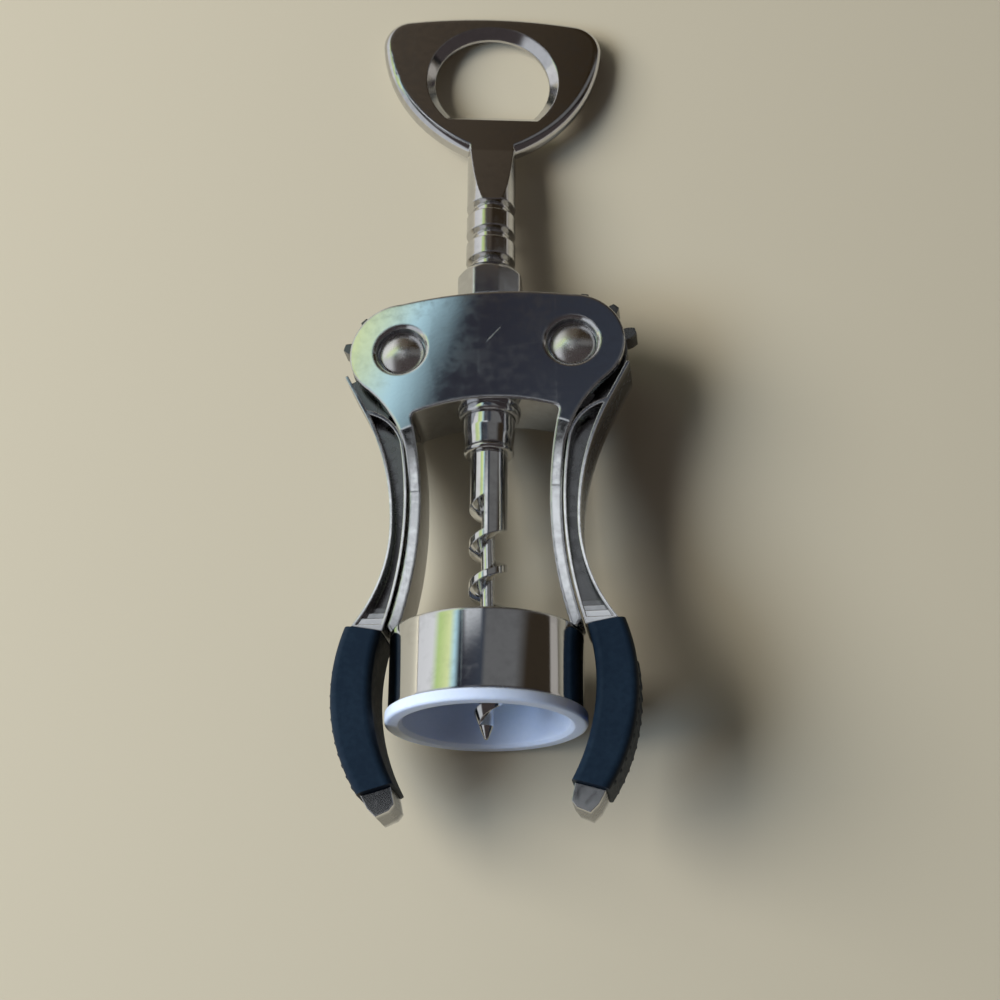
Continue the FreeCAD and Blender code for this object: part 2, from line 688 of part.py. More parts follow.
def make_washer(label, side, face):
    """Thin washer that takes up the play between a lever's hub and the boss of one plate."""
    body = new_body(label, pivot_x * side, pivot_y)
    near = (sector_half_thickness + washer_play) * face
    far = near + washer_thickness * face
    section = loop(body, "SectionSketch", "XZ_Plane", [
        ((rivet_radius + pivot_fit, near),), ((washer_radius, near),),
        ((washer_radius, far),), ((rivet_radius + pivot_fit, far),)])
    turn_round(body, "Revolution", section)


# ---------------------------------------------------------------- levers
def involute_half_angle(radius):
    """Half the angle, in degrees, that a sector tooth spans at this distance from its pivot."""
    base = pitch_radius.value * math.cos(math.radians(pressure_angle.value))
    pitch_half = (rack_groove_width.value - backlash.value) / (2 * pitch_radius.value)
    flank = math.acos(min(1, base / radius.value))
    at_pitch = math.radians(pressure_angle.value)
    shift = (math.tan(at_pitch) - at_pitch) - (math.tan(flank) - flank)
    return Size(math.degrees(pitch_half + shift), repr(math.degrees(pitch_half + shift)))


def tang_steps(side, half_width):
    """The bowed tang, or with a little more width the slot round it, down the middle of the grip."""
    top_x = (grip_top_inner_x + grip_top_outer_x) / 2
    bottom_x = (grip_bottom_inner_x + grip_bottom_outer_x) / 2
    top = arm_end_inner_y + 1
    bottom = (grip_bottom_inner_y + grip_bottom_outer_y) / 2 - 0.6
    return [
        (about_pivot((top_x + half_width, top), side),),
        (about_pivot((bottom_x + half_width, bottom), side), tang_bow + half_width, -side),
        (about_pivot((bottom_x - half_width, bottom), side),),
        (about_pivot((top_x - half_width, top), side), tang_bow - half_width, side),
    ]


def make_lever(label, side):
    """One lever: toothed sector, channel arm with stepped end, tang and bent tip, in one casting."""
    body = new_body(label, pivot_x * side, pivot_y)
    inner_bottom = (bow_x(bow_centre_x, arm_inner_bow, arm_end_inner_y), arm_end_inner_y)
    inner_top = (bow_x(bow_centre_x, arm_inner_bow, arm_inner_top_y), arm_inner_top_y)
    cross_end = (arm_cross_x, arm_cross_y)
    knee_rise = arm_knee_y - arm_waist_y
    knee = (arm_waist_x + arm_upper_bow - root(arm_upper_bow * arm_upper_bow - knee_rise * knee_rise), arm_knee_y)
    waist = (arm_waist_x, arm_waist_y)
    fall = arm_waist_y - arm_end_outer_y
    outer_end = (arm_waist_x + arm_lower_bow - root(arm_lower_bow * arm_lower_bow - fall * fall), arm_end_outer_y)
    horn_inner_radius = head_cheek_radius + arm_horn_clearance
    horn_inner = polar(horn_inner_radius, arm_horn_angle, side)
    horn_outer = polar(horn_inner_radius + arm_horn_width, arm_horn_angle, side)

    flange = loop(body, "FlangeSketch", "XY_Plane", [
        (about_pivot(inner_bottom, side),),
        (about_pivot(inner_top, side), arm_inner_bow, -side),
        (about_pivot(cross_end, side), arm_cross_radius, -side),
        (horn_inner,),
        (horn_outer,),
        (about_pivot(knee, side),),
        (about_pivot(waist, side), arm_upper_bow, side),
        (about_pivot(outer_end, side), arm_lower_bow, side),
    ])
    extrude(body, "Pad", flange, arm_half_depth * 2)

    # The channel, open to the front and back, inside a thin rim.
    rim_bow = arm_inner_bow - arm_rim
    recess_end = arm_end_inner_y + recess_end_rise
    recess_inner_bottom = (bow_x(bow_centre_x, rim_bow, recess_end), recess_end)
    recess_inner_top = (bow_x(bow_centre_x, rim_bow, arm_inner_top_y), arm_inner_top_y)
    outer_rim_x = arm_waist_x - arm_rim
    recess_knee = (arm_waist_x - arm_rim + arm_upper_bow + arm_rim
                   - root((arm_upper_bow + arm_rim) * (arm_upper_bow + arm_rim) - knee_rise * knee_rise), arm_knee_y)
    recess_cross = (recess_knee[0] - arm_rim, arm_cross_y - arm_rim * 1.9)
    end_fall = arm_waist_y - recess_end
    inside_bow = arm_lower_bow + arm_rim
    recess_outer_bottom = (outer_rim_x + inside_bow - root(inside_bow * inside_bow - end_fall * end_fall), recess_end)
    recess = loop(body, "RecessSketch", "XY_Plane", [
        (about_pivot(recess_inner_bottom, side),),
        (about_pivot(recess_inner_top, side), rim_bow, -side),
        (about_pivot(recess_cross, side), arm_cross_radius - arm_rim, -side),
        (about_pivot((outer_rim_x, arm_waist_y), side), arm_upper_bow + arm_rim, side),
        (about_pivot(recess_outer_bottom, side), inside_bow, side),
    ])
    extrude(body, "Pocket", recess, arm_half_depth * 3)

    # Thin web: the channel's floor, the neck beside the frame and the hub of the sector.
    web = loop(body, "WebSketch", "XY_Plane", [
        (about_pivot(inner_bottom, side),),
        (about_pivot(inner_top, side), arm_inner_bow, -side),
        (about_pivot((arm_neck_x, arm_neck_y), side), arm_cross_radius, -side),
        (polar(sector_root_radius * 0.9, arm_neck_angle, side),),
        (polar(sector_root_radius * 0.5, as_size(-50), side),),
        (polar(sector_root_radius * 0.95, arm_horn_angle, side),),
        (horn_outer,),
        (about_pivot(knee, side),),
        (about_pivot(waist, side), arm_upper_bow, side),
        (about_pivot(outer_end, side), arm_lower_bow, side),
    ])
    extrude(body, "Pad", web, sector_half_thickness * 2)
    hub = circles(body, "HubSketch", "XY_Plane", [(ZERO, ZERO, sector_root_radius)])
    extrude(body, "Pad", hub, sector_half_thickness * 2)

    # Teeth: involute flanks that roll along the rack's straight-sided rings.
    base_radius = pitch_radius * math.cos(math.radians(pressure_angle.value))
    low = sector_root_radius - 0.6
    outline = []
    for radius, offset in ((low, -1), (base_radius, -1), (sector_tip_radius, -1),
                           (sector_tip_radius, 1), (base_radius, 1), (low, 1)):
        spread = involute_half_angle(radius if radius.value > base_radius.value else base_radius)
        outline.append((polar(radius, sector_phase + spread * offset, side), radius))
    middle = []
    for offset in (-1, 1):
        spread = involute_half_angle(pitch_radius)
        middle.append(polar(pitch_radius, sector_phase + spread * offset, side))
    tooth = loop(body, "ToothSketch", "XY_Plane", [
        (outline[0][0],),
        (outline[1][0],),
        (middle[0],),
        (outline[2][0],),
        (outline[3][0], sector_tip_radius, side),
        (middle[1],),
        (outline[4][0],),
        (outline[5][0],),
    ])
    tooth_pad = extrude(body, "Pad", tooth, sector_half_thickness * 2)
    pattern = body.newObject("PartDesign::PolarPattern", "ToothPattern")
    pattern.Originals = [tooth_pad]
    pattern.Axis = (tooth, ["N_Axis"])
    pattern.Reversed = side < 0
    pattern.Mode = "Spacing"
    pattern.setExpression("Offset", tooth_angle.text)
    pattern.setExpression("Occurrences", sector_tooth_count.text)
    finish_step(body, pattern, "ToothPattern", True)

    # Rivet hole.
    hole = circles(body, "HoleSketch", "XY_Plane", [(ZERO, ZERO, rivet_radius + pivot_fit)])
    extrude(body, "Pocket", hole, arm_half_depth * 3)

    # Three steps climb from the channel's floor to the end of the arm.
    for number in range(step_count):
        low_y = recess_end + step_pitch * (step_count - 1 - number)
        high_y = low_y + step_pitch
        if number == step_count - 1:
            low_y = recess_end - recess_end_rise / 4
        corners = []
        for x_bow, base_x, waist_at, y in ((rim_bow - 0.1, None, None, low_y), (rim_bow - 0.1, None, None, high_y)):
            corners.append((bow_x(bow_centre_x, x_bow, y) - 0.2, y))
        for y in (high_y, low_y):
            drop = arm_waist_y - y
            corners.append((outer_rim_x + inside_bow - root(inside_bow * inside_bow - drop * drop) + 0.2, y))
        step = loop(body, f"Step{number + 1}Sketch", "XY_Plane", [(about_pivot(point, side),) for point in corners])
        extrude(body, "Pad", step, (sector_half_thickness + step_rise * (number + 1)) * 2)

    # Tang inside the grip and the metal tip below it.
    tang = loop(body, "TangSketch", "XY_Plane", tang_steps(side, tang_width / 2))
    extrude(body, "Pad", tang, tang_half * 2)
    tip_inner_y = grip_bottom_inner_y - grip_top_gap
    tip_outer_y = grip_bottom_outer_y - grip_top_gap
    tip = loop(body, "TipSketch", "XY_Plane", [
        (about_pivot((grip_bottom_inner_x + 0.7, tip_inner_y - 0.25), side),),
        (about_pivot((grip_bottom_outer_x - 0.7, tip_outer_y + 0.1), side),),
        (about_pivot((grip_bottom_outer_x - 2.2, tip_outer_y - tip_length * 0.5), side),),
        (about_pivot((grip_bottom_outer_x - 3.9, tip_outer_y - tip_length * 0.82), side),),
        (about_pivot((grip_bottom_inner_x + 0.9, tip_inner_y - tip_length), side),),
        (about_pivot((grip_bottom_inner_x - 0.1, tip_inner_y - tip_length * 0.75), side),),
    ])
    extrude(body, "Pad", tip, tip_half_depth * 2)


# ---------------------------------------------------------------- grips
def make_grip(label, side, face):
    """Front or back half of a grip: bowed outline, rounded outside, slotted for the tang inside."""
    body = new_body(label, pivot_x * side, pivot_y)
    outline = loop(body, "OutlineSketch", "XY_Plane", [
        (about_pivot((grip_top_inner_x, arm_end_inner_y - grip_top_gap), side),),
        (about_pivot((grip_top_outer_x, arm_end_outer_y - grip_top_gap), side),),
        (about_pivot((grip_bottom_outer_x, grip_bottom_outer_y), side), grip_outer_bow, -side),
        (about_pivot((grip_bottom_inner_x, grip_bottom_inner_y), side),),
        (about_pivot((grip_top_inner_x, arm_end_inner_y - grip_top_gap), side), grip_inner_bow, side),
    ][1:])
    outline.AttachmentOffset = FreeCAD.Placement(
        FreeCAD.Vector(0, 0, face * grip_joint.value / 2), FreeCAD.Rotation())
    outline.setExpression("AttachmentOffset.Base.z", (grip_joint / 2 * face).text)
    extrude(body, "Pad", outline, grip_half_depth - grip_joint / 2, False, face < 0)

    def on_outer_edge(middle, edge):
        return abs(middle.z * face - grip_half_depth.value) < 0.01 and edge.Length > 20
    dress(body, "Fillet", "OuterRounding", edges_where(body, on_outer_edge), grip_rounding)

    slot = loop(body, "TangSlotSketch", "XY_Plane", tang_steps(side, tang_width / 2 + tang_fit))
    extrude(body, "Pocket", slot, (tang_half + tang_fit) * 2)


# ---------------------------------------------------------------- spindle
def make_handle_rack():
    """Opener handle, flattened neck and ringed rack, cast in one piece."""
    body = new_body("handle_rack", ZERO, ZERO, handle_turn)
    neck_end = handle_neck_y + 2
    neck_x = rack_radius

    # Flat handle plate with bowed sides and rounded corners.
    top_rise = handle_top - handle_corner_y
    top_bow = (handle_half_width * handle_half_width + top_rise * top_rise) / (top_rise * 2)
    plate = loop(body, "PlateSketch", "XY_Plane", [
        ((handle_half_width, handle_corner_y), top_bow, -1),
        ((neck_x, handle_neck_y), handle_side_radius, -1),
        ((-neck_x, handle_neck_y),),
        ((-handle_half_width, handle_corner_y), handle_side_radius, -1),
    ])
    extrude(body, "Pad", plate, handle_half_thickness * 2)

    def on_corner(middle, edge):
        return abs(middle.z) < 0.01 and middle.y > handle_corner_y.value - 1
    dress(body, "Fillet", "CornerRounding", edges_where(body, on_corner), handle_corner_radius)

    def on_plate_outline(middle, edge):
        return abs(abs(middle.z) - handle_half_thickness.value) < 0.01 and middle.y > handle_neck_y.value + 3
    dress(body, "Fillet", "PlateRounding", edges_where(body, on_plate_outline), handle_edge_rounding)

    # Crown-cap opener: a round hole cut off by a straight bar, bevelled on both faces.
    hole_radius = opener_radius - opener_bevel
    bar_y = opener_bar_y + opener_bevel
    bar_drop = opener_y - bar_y
    bar_x = root(hole_radius * hole_radius - bar_drop * bar_drop)
    crown_y = opener_y + hole_radius * 0.6
    crown_x = hole_radius * 0.8
    opener = loop(body, "OpenerSketch", "XY_Plane", [
        ((bar_x, bar_y),),
        ((crown_x, crown_y), hole_radius, 1),
        ((-crown_x, crown_y), hole_radius, 1),
        ((-bar_x, bar_y), hole_radius, 1),
    ])
    extrude(body, "Pocket", opener, handle_half_thickness * 3)

    def on_opener_rim(middle, edge):
        return abs(abs(middle.z) - handle_half_thickness.value) < 0.01 \
            and math.hypot(middle.x, middle.y - opener_y.value) < hole_radius.value + 0.1
    dress(body, "Chamfer", "OpenerBevel", edges_where(body, on_opener_rim), opener_bevel)

    # Neck and rack shaft, turned about the tool's axis.
    shaft = loop(body, "ShaftSketch", "XY_Plane", [
        ((ZERO, rack_end),),
        ((rack_end_radius, rack_end),),
        ((rack_radius, rack_end + rack_end_taper),),
        ((rack_radius, neck_end),),
        ((ZERO, neck_end),)])
    turn_round(body, "Revolution", shaft)

    # The neck is ramped down to the plate's thickness, front and back.
    scoop = new_sketch(body, "ScoopSketch", "YZ_Plane")
    scoop_rise = rack_radius - handle_half_thickness
    over = scoop_rise / 2
    run_over = scoop_length * over / scoop_rise
    for face in (1, -1):
        draw_loop(scoop, [
            ((neck_end + 1, handle_half_thickness * face),),
            ((neck_end + 1, (rack_radius + over) * face),),
            ((handle_neck_y - scoop_length - run_over, (rack_radius + over) * face),),
            ((handle_neck_y, handle_half_thickness * face),),
        ])
    extrude(body, "Pocket", scoop, rack_radius * 3)

    # Rings: one straight-sided groove, repeated along the rack.
    engaged_angle = (as_size(180) - sector_phase - tooth_angle * 5) * (math.pi / 180)
    groove_centre = pivot_y + pitch_radius * engaged_angle - rack_pitch
    pitch_half_width = rack_groove_width / 2
    slope = math.tan(math.radians(pressure_angle.value))
    over = rack_radius + 1
    top_half = pitch_half_width + (over - rack_pitch_radius) * slope
    root_half = pitch_half_width - (rack_pitch_radius - rack_root_radius) * slope
    groove = loop(body, "RingGrooveSketch", "XY_Plane", [
        ((rack_root_radius, groove_centre - root_half),), ((over, groove_centre - top_half),),
        ((over, groove_centre + top_half),), ((rack_root_radius, groove_centre + root_half),)])
    ring_groove = turn_round(body, "Groove", groove)
    pattern = body.newObject("PartDesign::LinearPattern", "RingPattern")
    pattern.Originals = [ring_groove]
    pattern.Direction = (groove, ["V_Axis"])
    pattern.Mode = "Spacing"
    pattern.setExpression("Offset", rack_pitch.text)
    pattern.setExpression("Occurrences", rack_groove_count.text)
    finish_step(body, pattern, "RingPattern", False)

    # Socket for the worm's stud and the hole for its cross pin.
    socket = loop(body, "SocketSketch", "XY_Plane", [
        ((ZERO, rack_end - 1),), ((stud_radius + pin_fit, rack_end - 1),),
        ((stud_radius + pin_fit, rack_end + stud_length),), ((ZERO, rack_end + stud_length),)])
    turn_round(body, "Groove", socket)
    cross = circles(body, "PinHoleSketch", "YZ_Plane", [(pin_y, ZERO, pin_radius + pin_fit)])
    extrude(body, "Pocket", cross, rack_radius * 3)


def make_stop_ring():
    """Rounded ring between the rack and the worm, on which both turn."""
    body = new_body("stop_ring")
    top = rack_end - washer_play
    bottom = top - stop_ring_thickness
    rounding = stop_ring_thickness / 2.1
    section = loop(body, "SectionSketch", "XY_Plane", [
        ((stud_radius + spin_fit, bottom),),
        ((stop_ring_radius - rounding, bottom),),
        ((stop_ring_radius, bottom + rounding), rounding, 1),
        ((stop_ring_radius, top - rounding),),
        ((stop_ring_radius - rounding, top), rounding, 1),
        ((stud_radius + spin_fit, top),)])
    turn_round(body, "Revolution", section)


def make_worm():
    """Shank, stud and auger worm in one piece: a pointed rod with a right-handed helical groove."""
    body = new_body("worm_screw", ZERO, ZERO, handle_turn)
    shank_top = rack_end - stop_ring_thickness - washer_play * 2
    rod = loop(body, "RodSketch", "XY_Plane", [
        ((ZERO, worm_tip),),
        ((worm_core_radius / 4, worm_tip),),
        ((worm_radius, worm_tip + worm_cone_length),),
        ((worm_radius, shank_top),),
        ((stud_radius, shank_top),),
        ((stud_radius, rack_end + stud_length - 0.5),),
        ((ZERO, rack_end + stud_length - 0.5),)])
    turn_round(body, "Revolution", rod)
    profile = loop(body, "ThreadGrooveSketch", "XY_Plane", [
        ((worm_core_radius, groove_bottom - worm_groove_root / 2),),
        ((worm_radius + 1, groove_bottom - worm_groove_outer / 2),),
        ((worm_radius + 1, groove_bottom + worm_groove_outer / 2),),
        ((worm_core_radius, groove_bottom + worm_groove_root / 2),)])
    helix = body.newObject("PartDesign::SubtractiveHelix", "ThreadGroove")
    helix.Profile = profile
    helix.ReferenceAxis = (profile, ["V_Axis"])
    helix.Mode = 0
    helix.LeftHanded = False
    helix.setExpression("Pitch", worm_pitch.text)
    helix.setExpression("Height", (groove_top - groove_bottom).text)
    finish_step(body, helix, "ThreadGroove", False)
    cross = circles(body, "PinHoleSketch", "YZ_Plane", [(pin_y, ZERO, pin_radius + pin_fit)])
    extrude(body, "Pocket", cross, rack_radius * 3)


def make_pin():
    """Cross pin that holds the worm's stud in the rack."""
    body = new_body("worm_pin", ZERO, ZERO, handle_turn)
    end = circles(body, "EndSketch", "YZ_Plane", [(pin_y, ZERO, pin_radius)])
    extrude(body, "Pad", end, (rack_radius - pin_sink) * 2)


make_frame()
make_collar()
make_bush()
make_insert()
for side, hand in ((-1, "left"), (1, "right")):
    make_rivet(f"{hand}_pivot_rivet", side)
    make_washer(f"{hand}_front_washer", side, 1)
    make_washer(f"{hand}_back_washer", side, -1)
    make_lever(f"{hand}_lever", side)
    make_grip(f"{hand}_grip_front", side, 1)
    make_grip(f"{hand}_grip_back", side, -1)
make_handle_rack()
make_stop_ring()
make_worm()
make_pin()

# ---------------------------------------------------------------- check and write
document.recompute()
for item in document.Objects:
    if "Invalid" in item.State or "Error" in item.State:
        raise RuntimeError(f"{item.Label} did not compute: {item.State}")
for body in parts_made:
    if body.Shape.isNull() or not body.Shape.isValid():
        raise RuntimeError(f"{body.Label} has no valid shape")
os.makedirs("parts", exist_ok=True)
for body in parts_made:
    body.Shape.exportStep(f"parts/{body.Label}.step")
    print(body.Label, round(body.Shape.Volume, 1), len(body.Shape.Faces))
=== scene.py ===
# %% [markdown]
# # Wing corkscrew
# A wing corkscrew lies on its back on a pale table. The CAD model gives every part its exact shape and
# place. This script gives each one its finish, adds the ribs of the grips, lights the tool and aims the
# camera.
# All lengths are metres. +Y runs from the bell towards the handle, and +Z points up at the viewer.

# %% Load the fixed frame
import math

import bpy
import numpy as np
from mathutils import Matrix, Vector


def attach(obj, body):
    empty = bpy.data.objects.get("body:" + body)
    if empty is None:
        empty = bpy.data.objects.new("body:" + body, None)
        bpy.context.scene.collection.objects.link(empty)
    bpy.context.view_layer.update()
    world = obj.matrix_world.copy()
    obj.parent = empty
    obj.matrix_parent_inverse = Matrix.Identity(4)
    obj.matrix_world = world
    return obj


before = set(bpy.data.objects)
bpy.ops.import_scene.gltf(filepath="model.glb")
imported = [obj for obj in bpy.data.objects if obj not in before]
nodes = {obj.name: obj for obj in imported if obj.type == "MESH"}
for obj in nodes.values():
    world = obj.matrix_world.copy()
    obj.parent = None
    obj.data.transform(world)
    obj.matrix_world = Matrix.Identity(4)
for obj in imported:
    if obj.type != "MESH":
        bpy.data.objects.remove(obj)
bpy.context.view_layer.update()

MM = 0.001

# %% [markdown]
# ## How a finish is put together
# A finish is a node material. Small helpers keep the cells short: they make a material with its Principled
# shader, add a node, place a group, and write a sum, a soft mask or a colour mix in one line. Effects that
# several finishes share, such as fine scratches, are shader node groups, so that each is drawn once and
# tuned by its inputs.

# %% Helpers for node trees
def add(tree, kind, at=(0, 0), **settings):
    """One new node in a tree, with its properties set by name."""
    node = tree.nodes.new(kind)
    node.location = at
    for name, value in settings.items():
        setattr(node, name, value)
    return node


def new_finish(name):
    """A material with one Principled shader. Returns the material, its tree and the shader."""
    material = bpy.data.materials.new(name)
    material.use_nodes = True
    tree = material.node_tree
    shader = tree.nodes["Principled BSDF"]
    return material, tree, shader


def new_group(name, inputs, outputs):
    """A shader node group whose sockets are (name, socket type, default). Returns the tree and its ends."""
    tree = bpy.data.node_groups.new(name, "ShaderNodeTree")
    for label, kind, default in inputs:
        socket = tree.interface.new_socket(name=label, in_out="INPUT", socket_type=kind)
        socket.default_value = default
    for label, kind in outputs:
        tree.interface.new_socket(name=label, in_out="OUTPUT", socket_type=kind)
    return tree, add(tree, "NodeGroupInput", (-900, 0)), add(tree, "NodeGroupOutput", (900, 0))


def use_group(tree, group, at=(0, 0), **values):
    """Places a group in a tree and sets its inputs by name, with _ for a space."""
    node = add(tree, "ShaderNodeGroup", at, node_tree=group)
    for name, value in values.items():
        node.inputs[name.replace("_", " ")].default_value = value
    return node


def math_node(tree, operation, first, second=None, third=None):
    """A Math node whose inputs are sockets or numbers. Returns its output socket."""
    node = add(tree, "ShaderNodeMath", operation=operation)
    for index, value in enumerate((first, second, third)):
        if value is None:
            continue
        if isinstance(value, (int, float)):
            node.inputs[index].default_value = value
        else:
            tree.links.new(value, node.inputs[index])
    return node.outputs[0]


def smooth_step(tree, value, low, high):
    """A mask that climbs softly from 0 at low to 1 at high. Returns its output socket."""
    node = add(tree, "ShaderNodeMapRange", interpolation_type="SMOOTHSTEP")
    node.inputs["From Min"].default_value = low
    node.inputs["From Max"].default_value = high
    tree.links.new(value, node.inputs["Value"])
    return node.outputs["Result"]


def blend_colour(tree, amount, low, high):
    """Mixes two colours by a mask. Each is a socket or a plain colour. Returns the colour socket."""
    node = add(tree, "ShaderNodeMix", data_type="RGBA")
    tree.links.new(amount, node.inputs["Factor"])
    for name, value in (("A", low), ("B", high)):
        socket = [s for s in node.inputs if s.name == name and s.type == "RGBA"][0]
        if isinstance(value, tuple):
            socket.default_value = (*value, 1.0)
        else:
            tree.links.new(value, socket)
    return [s for s in node.outputs if s.type == "RGBA"][0]


print("helpers ready")

# %% [markdown]
# ## Shared effect: fine scratches
# Plated tools live in a drawer and pick up hairlines in every direction. A noise stretched about eighty
# times along one direction looks like brushed hair, and only its highest crests are kept, so that few
# lines remain. Three turned copies make the criss-cross. A picture of scratches would also do, but noise
# needs no file and never repeats.

# %% Group: fine scratches
HAIR_TURNS = ((25, 10), (100, 35), (155, -20))
HAIR_STRETCH = 0.012
HAIR_CREST = 0.72
HAIR_GAIN = 14.0


def scratch_group():
    """Mask of hairlines: crests of noise stretched along turned directions, 1 on a line and 0 off it."""
    tree, start, end = new_group(
        "fine scratches",
        [("Lines per metre", "NodeSocketFloat", 900.0), ("Amount", "NodeSocketFloat", 0.5)],
        [("Mask", "NodeSocketFloat")],
    )
    place = add(tree, "ShaderNodeTexCoord", (-900, -200)).outputs["Object"]
    total = None
    for turn, tilt in HAIR_TURNS:
        mapping = add(tree, "ShaderNodeMapping", vector_type="POINT")
        mapping.inputs["Rotation"].default_value = [math.radians(angle) for angle in (tilt, tilt, turn)]
        mapping.inputs["Scale"].default_value = (1.0, HAIR_STRETCH, 1.0)
        tree.links.new(place, mapping.inputs["Vector"])
        noise = add(tree, "ShaderNodeTexNoise", noise_dimensions="3D")
        noise.inputs["Detail"].default_value = 1.0
        tree.links.new(mapping.outputs["Vector"], noise.inputs["Vector"])
        tree.links.new(start.outputs["Lines per metre"], noise.inputs["Scale"])
        crest = math_node(tree, "SUBTRACT", noise.outputs["Fac"], HAIR_CREST)
        line = math_node(tree, "MULTIPLY", math_node(tree, "MAXIMUM", crest, 0.0), HAIR_GAIN)
        total = line if total is None else math_node(tree, "MAXIMUM", total, line)
    mask = math_node(tree, "MULTIPLY", math_node(tree, "MINIMUM", total, 1.0), start.outputs["Amount"])
    tree.links.new(mask, end.inputs["Mask"])
    return tree


scratches = scratch_group()
print("group:", scratches.name)

# %% [markdown]
# ## Shared effect: handling marks
# Fingers leave a thin film on polished metal, thicker in some places. Two scales of soft noise multiplied
# together give patches with ragged rims, which later raise the roughness a little.

# %% Group: handling marks
FINE_TO_WIDE = 9.0
SMUDGE_RANGE = (0.20, 0.36)


def handling_group():
    """Mask of smudges: a wide noise times a finer one, spread to 0..1."""
    tree, start, end = new_group(
        "handling marks", [("Patches per metre", "NodeSocketFloat", 60.0)], [("Mask", "NodeSocketFloat")]
    )
    place = add(tree, "ShaderNodeTexCoord").outputs["Object"]
    wide = add(tree, "ShaderNodeTexNoise")
    fine = add(tree, "ShaderNodeTexNoise")
    fine.inputs["Detail"].default_value = 6.0
    wide.inputs["Detail"].default_value = 2.0
    for noise in (wide, fine):
        tree.links.new(place, noise.inputs["Vector"])
    tree.links.new(start.outputs[0], wide.inputs["Scale"])
    finer = math_node(tree, "MULTIPLY", start.outputs[0], FINE_TO_WIDE)
    tree.links.new(finer, fine.inputs["Scale"])
    product = math_node(tree, "MULTIPLY", wide.outputs["Fac"], fine.outputs["Fac"])
    spread = add(tree, "ShaderNodeMapRange")
    spread.inputs["From Min"].default_value = SMUDGE_RANGE[0]
    spread.inputs["From Max"].default_value = SMUDGE_RANGE[1]
    tree.links.new(product, spread.inputs["Value"])
    tree.links.new(spread.outputs["Result"], end.inputs["Mask"])
    return tree


marks = handling_group()
print("group:", marks.name)

# %% [markdown]
# ## Shared effect: cast surface
# Die-cast zinc is never optically flat: under the plating the skin swells and sinks by microns, which
# bends long reflections. A broad, very shallow bump gives that, and a finer one gives orange peel. Edges
# are tumbled before plating, so a Bevel node first turns the normal softly over each edge, which adds a
# thin bright line to the fillets that the shape already has.

# %% Group: cast surface
SWELL_SCALE = 70.0
PEEL_SCALE = 1400.0
BEVEL_SAMPLES = 6


def cast_group():
    """Normal of a skin with rounded edges, broad swells and fine peel. All three inputs are in metres."""
    tree, start, end = new_group(
        "cast surface",
        [
            ("Swell", "NodeSocketFloat", 0.00006),
            ("Peel", "NodeSocketFloat", 0.000002),
            ("Rounding", "NodeSocketFloat", 0.0004),
        ],
        [("Normal", "NodeSocketVector")],
    )
    place = add(tree, "ShaderNodeTexCoord").outputs["Object"]
    edge = add(tree, "ShaderNodeBevel", samples=BEVEL_SAMPLES)
    tree.links.new(start.outputs["Rounding"], edge.inputs["Radius"])
    normal = edge.outputs["Normal"]
    for label, scale in (("Swell", SWELL_SCALE), ("Peel", PEEL_SCALE)):
        noise = add(tree, "ShaderNodeTexNoise")
        noise.inputs["Scale"].default_value = scale
        noise.inputs["Detail"].default_value = 0.0
        tree.links.new(place, noise.inputs["Vector"])
        bump = add(tree, "ShaderNodeBump")
        bump.inputs["Strength"].default_value = 1.0
        tree.links.new(start.outputs[label], bump.inputs["Distance"])
        tree.links.new(noise.outputs["Fac"], bump.inputs["Height"])
        tree.links.new(normal, bump.inputs["Normal"])
        normal = bump.outputs["Normal"]
    tree.links.new(normal, end.inputs["Normal"])
    return tree


cast_skin = cast_group()
print("group:", cast_skin.name)

# %% [markdown]
# ## Finish: plated metal
# Chrome plate is a mirror: fully metallic, pale grey, and as smooth as the polish under it. What makes it
# read as a used tool is the difference from place to place, so smudges and hairlines raise the roughness,
# and the cast skin bends the reflections. The head has one deep score. The levers' channel floors are
# painted darker as painted shade, and are a little rougher.

# %% Make the plated finishes
SCORE_MIDDLE = (2.0 * MM, 87.6 * MM, 0.0)
SCORE_TURN = math.radians(-48.0)
SCORE_HALF_LENGTH = 3.0 * MM
SCORE_HALF_WIDTH = 0.11 * MM
SCORE_CORE = 0.4
SCORE_RAGGEDNESS = 1100.0
SCORE_STRENGTH = 0.5
SCORE_COLOUR = (0.95, 0.95, 0.95)
SCORE_DULLING = 0.45
FILM_TONE = 0.90
HAIR_DULLING = 0.22
# How dark the painted shade on the lever channels' floors is, as a share of the metal's colour.
RECESS_PAINTED_SHADE = 0.28
RECESS_DULLING = 0.16


